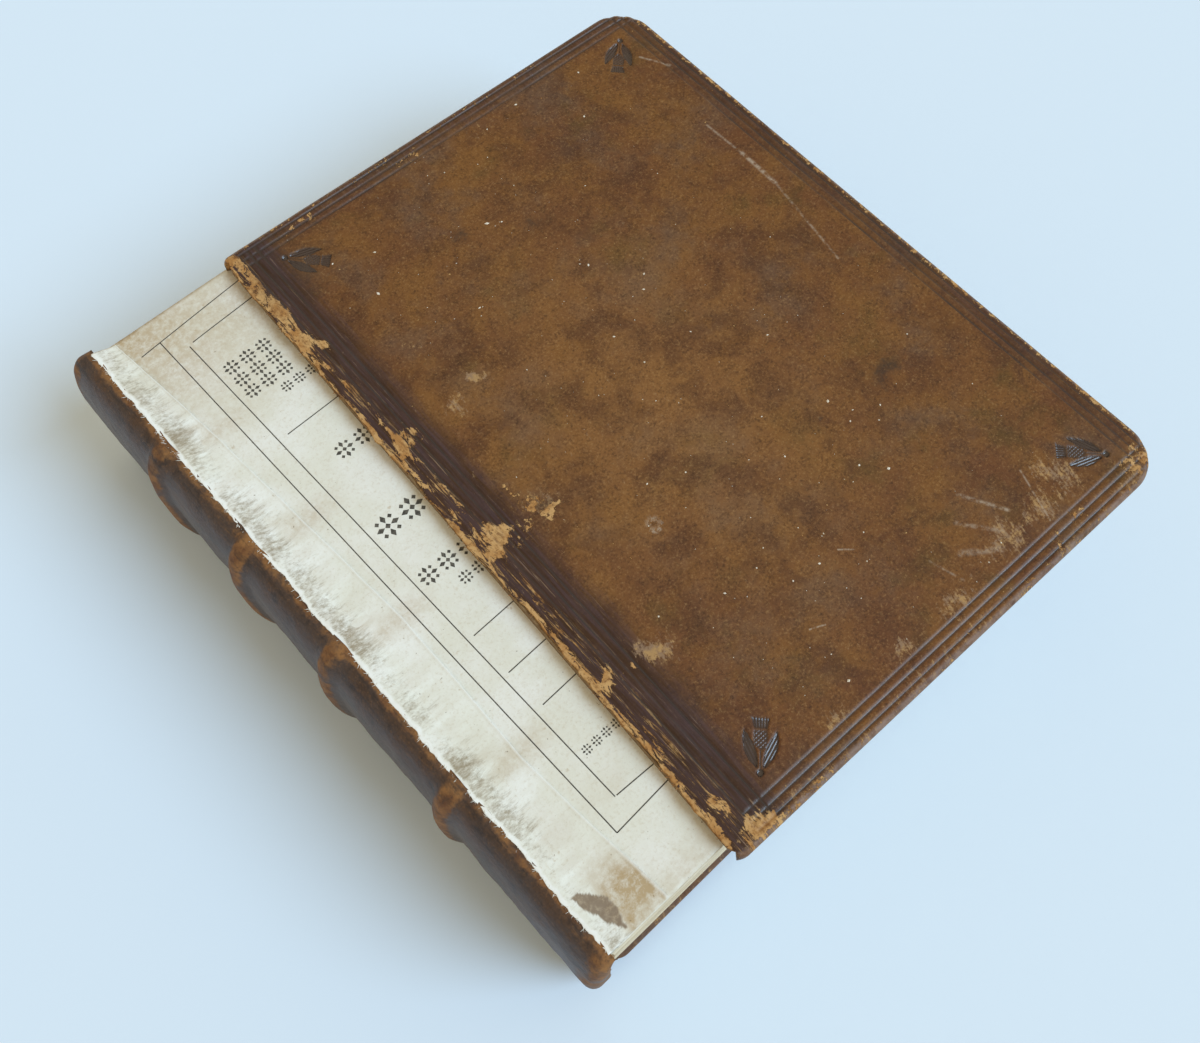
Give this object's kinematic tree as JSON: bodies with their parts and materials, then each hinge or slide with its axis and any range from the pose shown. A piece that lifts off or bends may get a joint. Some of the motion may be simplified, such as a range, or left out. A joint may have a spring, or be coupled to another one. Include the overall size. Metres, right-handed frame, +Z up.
{
  "type": "antique leather book",
  "caption": "Worn calf-bound book lying on its rear board: rounded spine with raised bands, sewn text block, torn endpaper stub and a broken-off front board resting askew on top.",
  "frame": {"origin": "centre of the rear board's outer face, which the book lies on", "axes": "+X from the spine to the fore-edge, +Y from the tail to the head, +Z up"},
  "size_m": [0.1912, 0.2076, 0.0507],
  "materials": {
    "text_paper": "cream laid paper with foxed, browned edges",
    "endpaper": "plain laid paper, dust-stained and torn",
    "hemp_cord": "twisted hemp, brown with old paste",
    "endband_thread": "plain linen thread wound over a core",
    "spine_calf": "darkened calf, rubbed to tan on the bands and edges",
    "cover_calf": "polished mottled brown calf, blind tooled, scuffed",
    "pasteboard": "grey-brown layered pasteboard"
  },
  "bodies": {
    "book_block": {"text_block": "text_paper", "endpaper_stub": "endpaper", "sewing_cord_1": "hemp_cord", "sewing_cord_2": "hemp_cord", "sewing_cord_3": "hemp_cord", "sewing_cord_4": "hemp_cord", "head_endband": "endband_thread", "tail_endband": "endband_thread", "spine_leather": "spine_calf", "front_board": "pasteboard", "front_leather": "cover_calf", "front_pastedown": "endpaper"},
    "rear_cover": {"rear_board": "pasteboard", "rear_leather": "cover_calf", "rear_pastedown": "endpaper"}
  },
  "joints": [
    {"name": "rear_joint", "type": "hinge", "parent": "book_block", "child": "rear_cover", "pos_m": [-0.07235, 0, 0.0005], "axis": [0, 1, 0], "range_deg": [0, 180]}
  ]
}
